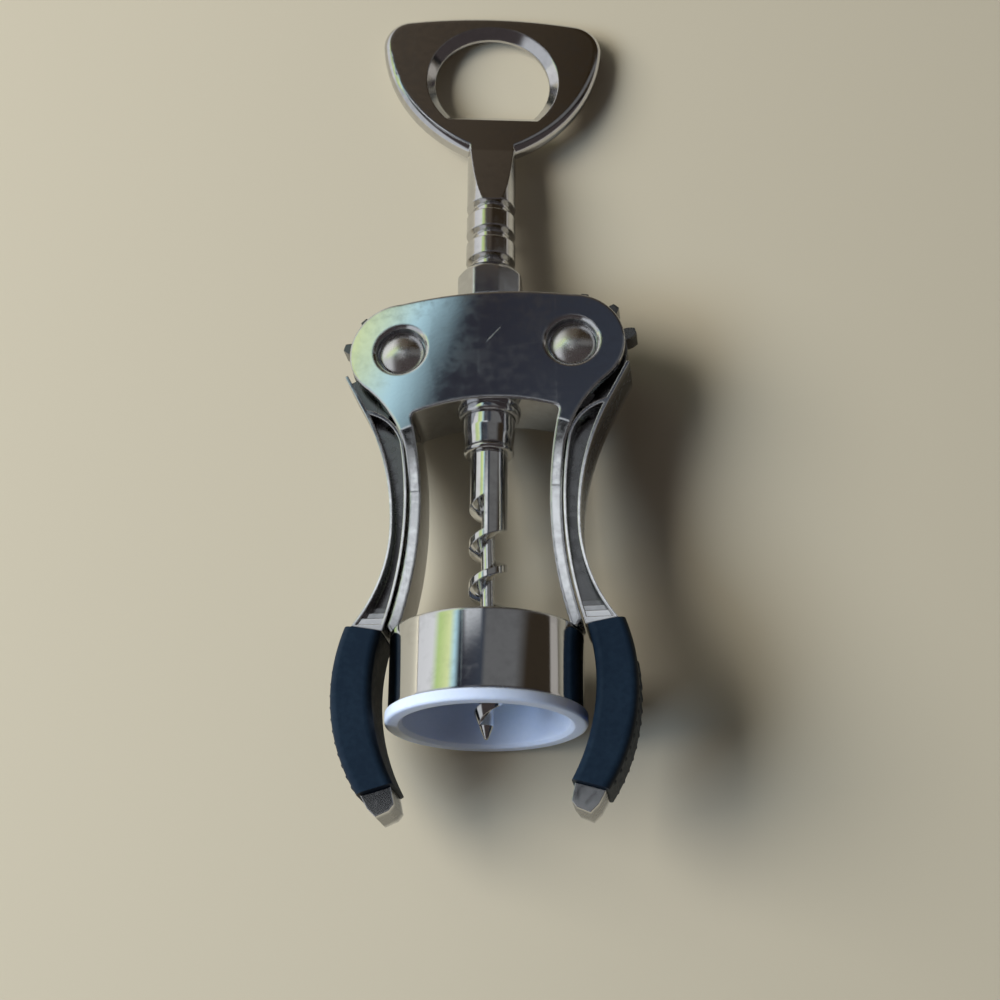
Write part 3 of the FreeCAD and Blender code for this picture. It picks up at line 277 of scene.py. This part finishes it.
def deep_score(tree):
    """Mask of one ragged score line: a thin turned box in X and Y whose width comes and goes with noise."""
    place = add(tree, "ShaderNodeTexCoord").outputs["Object"]
    mapping = add(tree, "ShaderNodeMapping", vector_type="TEXTURE")
    mapping.inputs["Location"].default_value = SCORE_MIDDLE
    mapping.inputs["Rotation"].default_value = (0.0, 0.0, -SCORE_TURN)
    tree.links.new(place, mapping.inputs["Vector"])
    parts = add(tree, "ShaderNodeSeparateXYZ")
    tree.links.new(mapping.outputs["Vector"], parts.inputs["Vector"])
    ragged = add(tree, "ShaderNodeTexNoise")
    ragged.inputs["Scale"].default_value = SCORE_RAGGEDNESS
    tree.links.new(place, ragged.inputs["Vector"])
    width = math_node(tree, "MULTIPLY", ragged.outputs["Fac"], 2.0 * SCORE_HALF_WIDTH)
    off_line = math_node(tree, "ABSOLUTE", parts.outputs["Y"])
    across = math_node(tree, "LESS_THAN", off_line, width)
    off_middle = math_node(tree, "ABSOLUTE", parts.outputs["X"])
    along = smooth_step(tree, off_middle, SCORE_HALF_LENGTH, SCORE_CORE * SCORE_HALF_LENGTH)
    front = math_node(tree, "GREATER_THAN", parts.outputs["Z"], 0.0)
    line = math_node(tree, "MULTIPLY", across, along)
    strength = math_node(tree, "MULTIPLY", front, SCORE_STRENGTH)
    return math_node(tree, "MULTIPLY", line, strength)


def plated(name, colour, roughness, swell, peel, lines, mark, rounding=0.4 * MM, recess=None, scored=False):
    """Metal with handling marks, hairlines and a cast skin. A recess, given as its floor and rim heights,
    gets painted shade: its floor is painted darker than the rim around it, and it is a little rougher."""
    material, tree, shader = new_finish(name)
    shader.inputs["Metallic"].default_value = 1.0
    smudge = use_group(tree, marks, (-700, 200))
    hairs = use_group(tree, scratches, (-700, 0), Amount=lines)
    skin = use_group(tree, cast_skin, (-700, -300), Swell=swell, Peel=peel, Rounding=rounding)
    dull = math_node(tree, "MULTIPLY_ADD", smudge.outputs["Mask"], mark, roughness)
    dull = math_node(tree, "MULTIPLY_ADD", hairs.outputs["Mask"], HAIR_DULLING, dull)
    film = tuple(FILM_TONE * channel for channel in colour)
    tone = blend_colour(tree, smudge.outputs["Mask"], colour, film)
    if scored:
        score = deep_score(tree)
        tone = blend_colour(tree, score, tone, SCORE_COLOUR)
        dull = math_node(tree, "MULTIPLY_ADD", score, SCORE_DULLING, dull)
    # Painted shade: below the rim heights the channel floor is painted darker, and it is made a little
    # rougher.
    if recess is not None:
        place = add(tree, "ShaderNodeSeparateXYZ")
        tree.links.new(add(tree, "ShaderNodeTexCoord").outputs["Object"], place.inputs["Vector"])
        height = math_node(tree, "ABSOLUTE", place.outputs["Z"])
        unshaded_rim = smooth_step(tree, height, *recess)
        painted_shade_tone = tuple(RECESS_PAINTED_SHADE * channel for channel in colour)
        tone = blend_colour(tree, unshaded_rim, painted_shade_tone, tone)
        dull = math_node(tree, "ADD", dull, RECESS_DULLING)
        dull = math_node(tree, "MULTIPLY_ADD", unshaded_rim, -RECESS_DULLING, dull)
    tree.links.new(dull, shader.inputs["Roughness"])
    tree.links.new(tone, shader.inputs["Base Color"])
    tree.links.new(skin.outputs["Normal"], shader.inputs["Normal"])
    return material


# Heights over which the levers' painted channel shade gives way to the bright rims.
RECESS = (2.8 * MM, 6.3 * MM)
chrome = plated(
    "plated casting", (0.66, 0.67, 0.69), roughness=0.05, swell=0.00002, peel=0.0000005,
    lines=0.35, mark=0.06, rounding=0.8 * MM, scored=True,
)
lever_chrome = plated(
    "plated lever", (0.80, 0.81, 0.83), roughness=0.07, swell=0.00002, peel=0.0000005,
    lines=0.35, mark=0.06, rounding=0.3 * MM, recess=RECESS,
)
handle_chrome = plated(
    "plated handle", (0.64, 0.64, 0.65), roughness=0.09, swell=0.00003, peel=0.0000010,
    lines=0.25, mark=0.08, rounding=0.5 * MM,
)
worm_steel = plated(
    "worm steel", (0.66, 0.66, 0.66), roughness=0.07, swell=0.00002, peel=0.0000006, lines=0.3, mark=0.06
)
rivet_steel = plated(
    "rivet steel", (0.80, 0.79, 0.78), roughness=0.26, swell=0.00002, peel=0.0000006, lines=0.5, mark=0.08
)
print("plated finishes ready")

# %% [markdown]
# ## Finish: grip plastic
# The lever ends are sleeved in a dark blue-black moulded plastic. Its mould is spark-eroded, which leaves
# a fine matt grain. The grain is a bump, and worn places shine a little more.

# %% Make the grip finish
GRIP_COLOUR = (0.0062, 0.0130, 0.0240)
GRIP_WORN_COLOUR = (0.0080, 0.0165, 0.0290)
GRIP_ROUGHNESS = 0.56
GRIP_WORN_SHINE = 0.06
GRIP_SPECULAR = 0.16
GRAIN_SCALE = 2600.0
GRAIN_HEIGHT = 0.00005


def grip_finish():
    """Navy-black plastic with a fine grain and slightly shinier handled patches."""
    material, tree, shader = new_finish("grip plastic")
    smudge = use_group(tree, marks, (-700, 200), Patches_per_metre=90.0)
    grain = add(tree, "ShaderNodeTexNoise")
    grain.inputs["Scale"].default_value = GRAIN_SCALE
    grain.inputs["Detail"].default_value = 3.0
    tree.links.new(add(tree, "ShaderNodeTexCoord").outputs["Object"], grain.inputs["Vector"])
    bump = add(tree, "ShaderNodeBump")
    bump.inputs["Strength"].default_value = 0.5
    bump.inputs["Distance"].default_value = GRAIN_HEIGHT
    tree.links.new(grain.outputs["Fac"], bump.inputs["Height"])
    tree.links.new(bump.outputs["Normal"], shader.inputs["Normal"])
    colour = blend_colour(tree, smudge.outputs["Mask"], GRIP_COLOUR, GRIP_WORN_COLOUR)
    tree.links.new(colour, shader.inputs["Base Color"])
    dull = math_node(tree, "MULTIPLY_ADD", smudge.outputs["Mask"], -GRIP_WORN_SHINE, GRIP_ROUGHNESS)
    tree.links.new(dull, shader.inputs["Roughness"])
    shader.inputs["Specular IOR Level"].default_value = GRIP_SPECULAR
    return material


grip_plastic = grip_finish()

# %% [markdown]
# ## Finish: bell insert
# The insert in the bell is a milky polyethylene ring. Light enters it and spreads, so its shadow side
# stays bright and slightly blue. Subsurface scattering gives that softness, where plain white would not.

# %% Make the insert finish
INSERT_COLOUR = (0.51, 0.58, 0.73)
INSERT_FILM_COLOUR = (0.49, 0.565, 0.715)
INSERT_ROUGHNESS = 0.33
INSERT_DULLING = 0.10


def insert_finish():
    """Milky plastic: subsurface scattering under a soft, faintly mottled skin."""
    material, tree, shader = new_finish("insert plastic")
    smudge = use_group(tree, marks, (-700, 200), Patches_per_metre=120.0)
    colour = blend_colour(tree, smudge.outputs["Mask"], INSERT_COLOUR, INSERT_FILM_COLOUR)
    tree.links.new(colour, shader.inputs["Base Color"])
    shader.inputs["Subsurface Weight"].default_value = 0.6
    shader.inputs["Subsurface Radius"].default_value = (0.9, 1.0, 1.2)
    shader.inputs["Subsurface Scale"].default_value = 0.002
    dull = math_node(tree, "MULTIPLY_ADD", smudge.outputs["Mask"], INSERT_DULLING, INSERT_ROUGHNESS)
    tree.links.new(dull, shader.inputs["Roughness"])
    skin = use_group(tree, cast_skin, (-700, -300), Swell=0.00003, Peel=0.000002)
    tree.links.new(skin.outputs["Normal"], shader.inputs["Normal"])
    return material


insert_plastic = insert_finish()
print("plastic finishes ready")

# %% [markdown]
# ## Dress the parts
# Each CAD node keeps its shape and gets its finish in its own material slots.

# %% Give each node its finish
def dress(finish, *names):
    """Puts one finish on every face of these nodes."""
    for name in names:
        mesh = nodes[name].data
        mesh.materials.clear()
        mesh.materials.append(finish)
        mesh.polygons.foreach_set("material_index", np.zeros(len(mesh.polygons), np.int32))
        print(f"{name}: {finish.name}")


dress(chrome, "frame_casting", "top_collar", "guide_bush")
dress(lever_chrome, "left_lever", "right_lever")
dress(handle_chrome, "handle_rack")
dress(worm_steel, "worm_screw", "worm_pin", "stop_ring")
dress(rivet_steel, "left_pivot_rivet", "right_pivot_rivet")
dress(worm_steel, "left_front_washer", "left_back_washer", "right_front_washer", "right_back_washer")
dress(grip_plastic, "left_grip_front", "left_grip_back", "right_grip_front", "right_grip_back")
dress(insert_plastic, "bell_insert")

# %% [markdown]
# ## Ribs on the grips
# The outer side of each grip carries small cross ribs that keep a wet thumb from slipping. They are moulded
# with the sleeve, so each is a bar sunk into the grip's outer bow with its crest standing proud. They could
# be a bump in the material, but they show in the outline, so they are real surfaces: one closed loft per rib.

# %% Loft closed bars
def closed_loft(name, bars):
    """One mesh from closed bars. A bar is an array of rings (rings, points, 3); its ends close on the mean
    point of the first and last ring. Faces point outwards when a ring runs anticlockwise about the way on."""
    corners, faces, start = [], [], 0
    for rings in bars:
        count, around = rings.shape[:2]
        index = start + np.arange(count * around).reshape(count, around)
        turned = np.roll(index, -1, axis=1)
        quads = np.stack([index[:-1], turned[:-1], turned[1:], index[1:]], axis=-1).reshape(-1, 4)
        first, last = start + count * around, start + count * around + 1
        faces += quads.tolist()
        faces += [(first, b, a) for a, b in zip(index[0].tolist(), turned[0].tolist())]
        faces += [(last, a, b) for a, b in zip(index[-1].tolist(), turned[-1].tolist())]
        ends = np.stack([rings[0].mean(axis=0), rings[-1].mean(axis=0)])
        corners += [rings.reshape(-1, 3), ends]
        start += count * around + 2
    mesh = bpy.data.meshes.new(name)
    mesh.from_pydata(np.concatenate(corners).tolist(), [], faces)
    mesh.polygons.foreach_set("use_smooth", np.ones(len(mesh.polygons), bool))
    piece = bpy.data.objects.new(name, mesh)
    bpy.context.scene.collection.objects.link(piece)
    return piece


GRIP_BOW_RADIUS = 39.99 * MM
GRIP_BOW_CENTRE = (8.17 * MM, 6.93 * MM)
RIB_COUNT = 11
RIB_SPAN = (math.radians(-30.0), math.radians(6.0))
RIB_RADIUS = 0.62 * MM
RIB_HEIGHT = 0.30 * MM
RIB_HALF_LENGTH = 6.3 * MM
RIB_RINGS = 13
RIB_POINTS = 12
RIB_END = 0.999
RIB_END_POWER = 8


def grip_ribs(name, side):
    """Cross bars on the outer bow. At angle a on the bow, and s from -1 to 1 along the bar, a ring is a
    circle of radius R * sqrt(1 - s^8) whose centre is sunk so that only its crest stands proud."""
    along = np.linspace(-RIB_END, RIB_END, RIB_RINGS)
    turn = np.linspace(0.0, 2.0 * math.pi, RIB_POINTS, endpoint=False)
    bars = []
    for angle in np.linspace(*RIB_SPAN, RIB_COUNT):
        reach = GRIP_BOW_RADIUS - RIB_RADIUS + RIB_HEIGHT
        radius = RIB_RADIUS * np.sqrt(1.0 - along ** RIB_END_POWER)[:, None]
        out = reach + radius * np.cos(turn)[None, :]
        over = radius * np.sin(turn)[None, :]
        x = out * math.cos(angle) - over * math.sin(angle) - GRIP_BOW_CENTRE[0]
        y = out * math.sin(angle) + over * math.cos(angle) + GRIP_BOW_CENTRE[1]
        z = np.broadcast_to((along * RIB_HALF_LENGTH)[:, None], x.shape)
        rings = np.stack([side * x, y, z], axis=-1)
        bars.append(rings if side > 0 else rings[:, ::-1])
    return closed_loft(name, bars)


for side_name, side in (("left", -1.0), ("right", 1.0)):
    ribs = grip_ribs(f"{side_name}_grip_ribs", side)
    ribs.data.materials.append(grip_plastic)
    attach(ribs, f"{side_name}_arm")
    print(ribs.name, len(ribs.data.polygons), "faces")

# %% [markdown]
# ## The table
# The tool lies on the top edge of its bell and on the flat of its handle, so the table slopes a little
# against the tool's own axis and is rolled with the handle. Seen from below it is clear.

# %% Lay the table under the tool
HANDLE_ROLL = math.radians(9.5)
REST_BELL = (19.2 * MM, -20.5 * MM)
REST_HANDLE = (180.0 * MM, -2.6 * MM)
TABLE_HALF = 3.0
TABLE_COLOUR = (0.50, 0.45, 0.345, 1.0)
TABLE_ROUGHNESS = 0.85


def table_axes():
    """Origin, and unit vectors across, along and out of the table.
    Along runs from the bell's rest to the handle's in the plane that the handle lies in."""
    across = Vector((math.cos(HANDLE_ROLL), 0, -math.sin(HANDLE_ROLL)))
    out = Vector((math.sin(HANDLE_ROLL), 0, math.cos(HANDLE_ROLL)))
    axis = Vector((0, 1, 0))
    bell = axis * REST_BELL[0] + out * REST_BELL[1]
    handle = axis * REST_HANDLE[0] + out * REST_HANDLE[1]
    along = (handle - bell).normalized()
    return bell, across, along, across.cross(along)


def table_surface():
    """A flat grid of 2 by 2 corners in the table's axes."""
    origin, across, along, normal = table_axes()
    corners = [
        origin + across * (side * TABLE_HALF) + along * (reach * TABLE_HALF)
        for side, reach in ((-1, -1), (1, -1), (1, 1), (-1, 1))
    ]
    mesh = bpy.data.meshes.new("table top")
    mesh.from_pydata([tuple(c) for c in corners], [], [(0, 1, 2, 3)])
    return mesh, normal


table_mesh, table_normal = table_surface()
table_top = bpy.data.objects.new("table_top", table_mesh)
bpy.context.scene.collection.objects.link(table_top)
table_paint, table_tree, table_shader = new_finish("pale table")
table_shader.inputs["Base Color"].default_value = TABLE_COLOUR
table_shader.inputs["Roughness"].default_value = TABLE_ROUGHNESS
clear = add(table_tree, "ShaderNodeBsdfTransparent")
either = add(table_tree, "ShaderNodeMixShader")
table_tree.links.new(add(table_tree, "ShaderNodeNewGeometry").outputs["Backfacing"], either.inputs["Fac"])
table_tree.links.new(table_shader.outputs["BSDF"], either.inputs[1])
table_tree.links.new(clear.outputs["BSDF"], either.inputs[2])
table_tree.links.new(either.outputs["Shader"], table_tree.nodes["Material Output"].inputs["Surface"])
table_mesh.materials.append(table_paint)
print("table normal:", [round(value, 3) for value in table_normal])

# %% [markdown]
# ## The light
# Polished metal shows only what is around it, so the room is a world of a few plain tones: boards and a
# wall at the right, shade overhead, and a window with sky and garden at the left. Two pale panels and a
# dark side stand above the viewer. Two soft lamps cast the shadows and are left out of reflections,
# because a lamp's own image on curved plate is a hard white patch. The tones lie where they suit the main
# view.

# %% Build the room's light
WINDOW_SLANT = 1.2
WINDOW_HEIGHT = 0.48
BOARDS_FROM = (0.514, 0.528)
BOARDS_RIGHT_OF = (-0.45, -0.22)
BOARDS_FADE = (0.05, 0.24)
BOARDS_NEAR = (0.10, 0.08, 0.06)
BOARDS_FAR = (0.03, 0.02, 0.01)
HORIZON_LEFT = 0.20
HORIZON_RIGHT = 0.08
HORIZON_TURN = (-0.1, 0.3)
HORIZON_FLOOR = 0.035
PALE_HORIZON = (0.80, 0.80, 0.78)
WARM_HORIZON = (0.45, 0.42, 0.38)
PANELS_RIGHT_OF = (-0.36, -0.24)
PANELS_LEFT_OF = (0.06, -0.02)
PANELS_SKEW = -0.03
PANEL_COLOUR = (0.95, 0.98, 1.00)
CEILING_PANELS = (
    (0.12, 0.0),
    (0.14, 1.0),
    (0.18, 1.0),
    (0.19, 0.0),
    (0.31, 0.0),
    (0.34, 1.0),
    (0.40, 1.0),
    (0.43, 0.0),
)
VIEWER_BELOW = (0.242, 0.228)
VIEWER_RIGHT_OF = (-0.60, -0.45)
VIEWER_CLOSE = (0.18, 0.08)
VIEWER_SHADE = (0.01, 0.01, 0.01)
VIEWER_WALL = (0.06, 0.05, 0.05)
WINDOW_SIDE = (0.60, 0.62, 0.65)
BOARDS = (0.04, 0.03, 0.02)
WALL = (0.16, 0.16, 0.16)
BLUE_SHADE = (0.05, 0.06, 0.08)
DEEP_SHADE = (0.03, 0.03, 0.04)
SKY = (0.60, 0.90, 1.00)
GARDEN = (0.90, 1.00, 0.50)
LAWN = (0.60, 0.80, 0.30)
WINDOW_FRAME = (0.90, 0.90, 0.90)
SIDE_WALL = (0.70, 0.70, 0.70)
ROOM_TONES = (
    (0.00, BOARDS),
    (0.08, WALL),
    (0.34, WALL),
    (0.38, BLUE_SHADE),
    (0.59, DEEP_SHADE),
    (0.63, SKY),
    (0.68, GARDEN),
    (0.76, LAWN),
    (0.80, WINDOW_FRAME),
    (1.00, SIDE_WALL),
)


def fill_ramp(node, tones):
    """Sets a colour ramp's stops from (place, colour) pairs in rising order."""
    stops = node.color_ramp.elements
    for index, (place, colour) in enumerate(tones):
        stop = stops[index] if index < 2 else stops.new(place)
        stop.position = place
        stop.color = (*colour, 1.0)


def room_light():
    """World colour from direction. A slanted coordinate, 0.5 - (x - slant * (y - height)) / 2, runs across
    the room from the boards at the right to the window at the left. Over it lie the viewer's dark side, the
    two pale panels and the boards beyond the tool, and near the horizon all of it turns pale."""
    world = bpy.data.worlds.new("soft room")
    bpy.context.scene.world = world
    world.use_nodes = True
    tree = world.node_tree
    background = tree.nodes["Background"]
    direction = add(tree, "ShaderNodeTexCoord").outputs["Generated"]
    parts = add(tree, "ShaderNodeSeparateXYZ")
    tree.links.new(direction, parts.inputs["Vector"])
    ramp = add(tree, "ShaderNodeValToRGB")
    slant = math_node(tree, "MULTIPLY_ADD", parts.outputs["Y"], WINDOW_SLANT, -WINDOW_SLANT * WINDOW_HEIGHT)
    across = math_node(tree, "SUBTRACT", parts.outputs["X"], slant)
    leftward = math_node(tree, "MULTIPLY_ADD", across, -0.5, 0.5)
    tree.links.new(leftward, ramp.inputs["Fac"])
    fill_ramp(ramp, ROOM_TONES)
    boards_across = add(tree, "ShaderNodeMapRange")
    boards_across.inputs["From Min"].default_value = BOARDS_FADE[0]
    boards_across.inputs["From Max"].default_value = BOARDS_FADE[1]
    tree.links.new(parts.outputs["X"], boards_across.inputs["Value"])
    boards = blend_colour(tree, boards_across.outputs["Result"], BOARDS_NEAR, BOARDS_FAR)
    upward = smooth_step(tree, parts.outputs["Y"], *BOARDS_FROM)
    beyond = math_node(tree, "MULTIPLY", upward, smooth_step(tree, parts.outputs["X"], *BOARDS_RIGHT_OF))
    left = smooth_step(tree, parts.outputs["X"], *PANELS_RIGHT_OF)
    right = smooth_step(tree, parts.outputs["X"], *PANELS_LEFT_OF)
    skewed = math_node(tree, "MULTIPLY_ADD", parts.outputs["X"], PANELS_SKEW, parts.outputs["Y"])
    panels = add(tree, "ShaderNodeValToRGB")
    tree.links.new(skewed, panels.inputs["Fac"])
    fill_ramp(panels, [(place, (level,) * 3) for place, level in CEILING_PANELS])
    between = math_node(tree, "MULTIPLY", left, right)
    panel = math_node(tree, "MULTIPLY", panels.outputs["Color"], between)
    behind = smooth_step(tree, parts.outputs["Y"], *VIEWER_BELOW)
    inward = smooth_step(tree, parts.outputs["X"], *VIEWER_RIGHT_OF)
    close_by = smooth_step(tree, parts.outputs["Y"], *VIEWER_CLOSE)
    viewer = blend_colour(tree, close_by, VIEWER_SHADE, VIEWER_WALL)
    viewer_side = blend_colour(tree, inward, WINDOW_SIDE, viewer)
    overhead = blend_colour(tree, behind, ramp.outputs["Color"], viewer_side)
    overhead = blend_colour(tree, panel, overhead, PANEL_COLOUR)
    ceiling = blend_colour(tree, beyond, overhead, boards)
    rightward = smooth_step(tree, parts.outputs["X"], *HORIZON_TURN)
    band_top = math_node(tree, "MULTIPLY_ADD", rightward, HORIZON_RIGHT - HORIZON_LEFT, HORIZON_LEFT)
    horizon = blend_colour(tree, rightward, PALE_HORIZON, WARM_HORIZON)
    band = add(tree, "ShaderNodeMapRange", interpolation_type="SMOOTHSTEP")
    band.inputs["From Min"].default_value = HORIZON_FLOOR
    tree.links.new(band_top, band.inputs["From Max"])
    tree.links.new(parts.outputs["Z"], band.inputs["Value"])
    colour = blend_colour(tree, band.outputs["Result"], horizon, ceiling)
    tree.links.new(colour, background.inputs["Color"])
    background.inputs["Strength"].default_value = 1.0


def lamp(name, place, target, size, power, colour):
    """A rectangular area lamp at a place, turned to face a target and left out of reflections."""
    data = bpy.data.lights.new(name, "AREA")
    data.shape = "RECTANGLE"
    data.size, data.size_y = size
    data.energy = power
    data.color = colour
    lamp_object = bpy.data.objects.new(name, data)
    lamp_object.location = place
    lamp_object.rotation_euler = (Vector(target) - Vector(place)).to_track_quat("-Z", "Y").to_euler()
    lamp_object.visible_glossy = False
    bpy.context.scene.collection.objects.link(lamp_object)


room_light()
TOOL_CENTRE = (0.0, 0.085, 0.0)
lamp(
    "window lamp", place=(-0.95, 0.10, 0.98), target=TOOL_CENTRE, size=(0.8, 0.8), power=25.0,
    colour=(1.0, 0.98, 0.94),
)
lamp(
    "sky lamp", place=(-0.78, -0.42, 0.84), target=TOOL_CENTRE, size=(0.4, 0.4), power=7.0,
    colour=(0.58, 0.76, 1.0),
)
print("room and lamps ready")

# %% [markdown]
# ## The camera
# The viewer stands at the bell end and looks down at the table, with the tool rolled a few degrees and
# the handle pointing away. The lens is a little longer than normal, from about a third of a metre.

# %% Aim the camera
FOCAL_PIXELS = 1564.0
PICTURE_PIXELS = 1000.0
SENSOR_WIDTH = 36.0
CAMERA_PLACE = Vector((43.7, -83.5, 310.7)) * MM
TOOL_ROLL = math.radians(7.55)
LOOK_TILT = math.radians(23.17)
CAMERA_ROLL = math.radians(0.361)


def aim_camera():
    """Camera axes from three turns: the tool's roll about Y, the tilt of the look, and the camera's roll."""
    right = Vector((math.cos(TOOL_ROLL), 0, -math.sin(TOOL_ROLL)))
    back = Vector((
        math.cos(LOOK_TILT) * math.sin(TOOL_ROLL),
        -math.sin(LOOK_TILT),
        math.cos(LOOK_TILT) * math.cos(TOOL_ROLL),
    ))
    up = back.cross(right)
    turned_right = right * math.cos(CAMERA_ROLL) + up * math.sin(CAMERA_ROLL)
    turned_up = up * math.cos(CAMERA_ROLL) - right * math.sin(CAMERA_ROLL)
    data = bpy.data.cameras.new("viewer")
    data.sensor_width = SENSOR_WIDTH
    data.lens = FOCAL_PIXELS / PICTURE_PIXELS * SENSOR_WIDTH
    data.clip_start = 0.01
    data.clip_end = 20.0
    viewer = bpy.data.objects.new("viewer", data)
    turn = Matrix((turned_right, turned_up, back)).transposed().to_4x4()
    viewer.matrix_world = Matrix.Translation(CAMERA_PLACE) @ turn
    bpy.context.scene.collection.objects.link(viewer)
    bpy.context.scene.camera = viewer
    print("lens in mm:", round(data.lens, 2))


aim_camera()
bpy.context.scene.view_settings.view_transform = "Standard"
